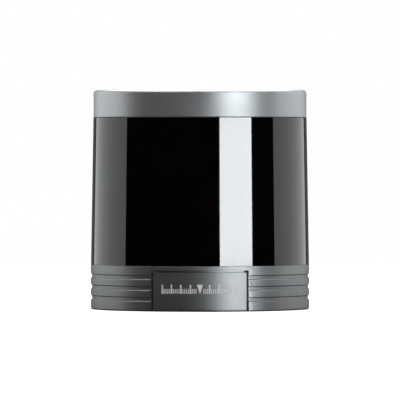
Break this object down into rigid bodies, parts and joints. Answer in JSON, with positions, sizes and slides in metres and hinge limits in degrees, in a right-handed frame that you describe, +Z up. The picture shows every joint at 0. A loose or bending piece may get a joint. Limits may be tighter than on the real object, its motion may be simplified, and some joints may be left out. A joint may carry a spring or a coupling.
{
  "type": "lidar scanner module",
  "caption": "Upright spinning laser scanner in a round metal base and cap with a dark conical window, its rotor carrying paired lenses on a fixed spindle.",
  "frame": {"origin": "centre of the underside, on the spin axis, at the mouth of the centre thread", "axes": "+Z up along the spin axis, -Y towards the front badge, +Y along the cable socket"},
  "size_m": [0.11, 0.1194, 0.1106],
  "materials": {
    "cap_aluminium": "satin anodised, fine turned grain",
    "base_aluminium": "darker satin anodised, fine turned grain",
    "machined_aluminium": "plain machined",
    "window_plastic": "polished, looks black and passes infrared",
    "seal_rubber": "matt",
    "screw_steel": "bright zinc plated",
    "black_screw": "black oxide",
    "bearing_steel": "ground and polished",
    "shaft_steel": "ground",
    "core_steel": "stacked laminations",
    "copper_winding": "enamelled copper wire",
    "magnet_coating": "nickel plated",
    "black_plastic": "moulded",
    "grey_plastic": "moulded",
    "board_green": "solder resist over glass fibre",
    "component_black": "moulded component cases",
    "black_anodised": "matt black anodised",
    "lens_glass": "coated",
    "contact_gold": "gold plated",
    "cable_jacket": "sleeved wires",
    "emitter_ceramic": "ceramic carriers",
    "detector_case": "dark optical package"
  },
  "bodies": {
    "housing": {"base_housing": "base_aluminium", "base_plate": "base_aluminium", "badge_plate": "base_aluminium", "top_cap": "cap_aluminium", "hub_cover": "cap_aluminium", "window": "window_plastic", "base_plate_seal": "seal_rubber", "window_lower_seal": "seal_rubber", "window_upper_seal": "seal_rubber", "socket_seal": "seal_rubber", "base_plate_screws": "black_screw", "chassis_screws": "screw_steel", "cap_screw": "black_screw", "spindle": "shaft_steel", "bearing_spacer": "machined_aluminium", "bearing_nut": "shaft_steel", "lower_bearing_inner_ring": "bearing_steel", "upper_bearing_inner_ring": "bearing_steel", "stator_core": "core_steel", "stator_windings": "copper_winding", "coil_carrier": "grey_plastic", "primary_coil": "copper_winding", "encoder_sensor": "black_plastic", "board_standoffs": "contact_gold", "interface_board": "board_green", "interface_components": "component_black", "socket_shell": "screw_steel", "socket_nut": "screw_steel", "socket_insert": "black_plastic", "socket_contacts": "contact_gold", "board_plug": "emitter_ceramic", "socket_harness": "cable_jacket"},
    "rotor": {"rotor_hub": "machined_aluminium", "hub_circlip": "black_screw", "rotor_bell": "shaft_steel", "rotor_magnets": "magnet_coating", "encoder_disc": "screw_steel", "secondary_coil": "copper_winding", "rotor_platform": "machined_aluminium", "rotor_screws": "screw_steel", "balance_weight": "contact_gold", "optics_frame": "black_anodised", "lens_barrels": "black_anodised", "lens_rings": "black_anodised", "light_baffles": "black_plastic", "emitter_lens": "lens_glass", "receiver_lens": "lens_glass", "emitter_board": "board_green", "receiver_board": "board_green", "laser_diodes": "emitter_ceramic", "detector_array": "detector_case", "control_board": "board_green", "power_board": "board_green", "rotor_components": "component_black", "lower_bearing_outer_ring": "bearing_steel", "upper_bearing_outer_ring": "bearing_steel"},
    "lower_cage": {"lower_bearing_balls": "bearing_steel", "lower_bearing_cage": "contact_gold"},
    "upper_cage": {"upper_bearing_balls": "bearing_steel", "upper_bearing_cage": "contact_gold"}
  },
  "joints": [
    {"name": "rotor_spin", "type": "hinge", "parent": "housing", "child": "rotor", "pos_m": [0, 0, 0.06], "axis": [0, 0, 1], "continuous": true},
    {"name": "lower_cage_spin", "type": "hinge", "parent": "housing", "child": "lower_cage", "pos_m": [0, 0, 0.0447], "axis": [0, 0, 1], "continuous": true},
    {"name": "upper_cage_spin", "type": "hinge", "parent": "housing", "child": "upper_cage", "pos_m": [0, 0, 0.084], "axis": [0, 0, 1], "continuous": true}
  ],
  "couplings": [
    {"joint": "lower_cage_spin", "follows": "rotor_spin", "ratio": 0.593},
    {"joint": "upper_cage_spin", "follows": "rotor_spin", "ratio": 0.593}
  ]
}
